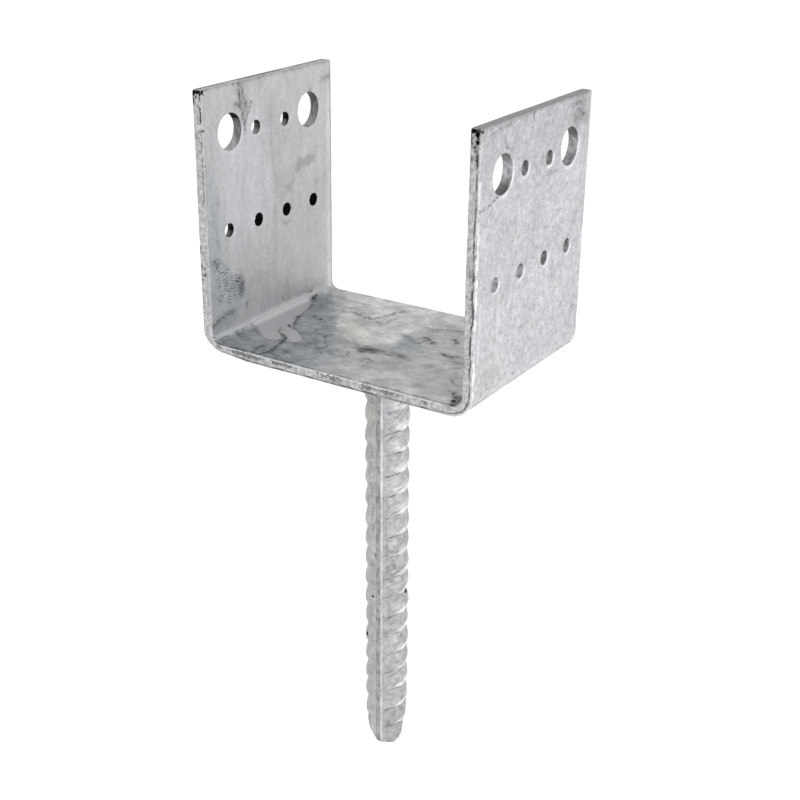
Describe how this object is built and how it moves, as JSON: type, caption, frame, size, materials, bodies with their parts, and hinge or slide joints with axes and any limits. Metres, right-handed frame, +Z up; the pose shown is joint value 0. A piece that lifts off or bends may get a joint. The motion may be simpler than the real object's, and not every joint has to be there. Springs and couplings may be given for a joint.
{
  "type": "timber post base",
  "caption": "Galvanised steel U that holds the foot of a square timber post, welded on a ribbed bar that is cast into concrete.",
  "frame": {"origin": "centre of the seat, the upper face of the U's flat bottom", "axes": "+Z up out of the seat into the post, X from cheek to cheek, Y along the strip's width"},
  "size_m": [0.118, 0.08, 0.28],
  "materials": {
    "galvanised_plate": "hot-dip galvanised, mottled",
    "galvanised_bar": "hot-dip galvanised, as rolled",
    "galvanised_weld": "hot-dip galvanised weld bead"
  },
  "bodies": {
    "root": {"u_bracket": "galvanised_plate", "ribbed_dowel": "galvanised_bar", "fillet_weld": "galvanised_weld"}
  },
  "joints": []
}
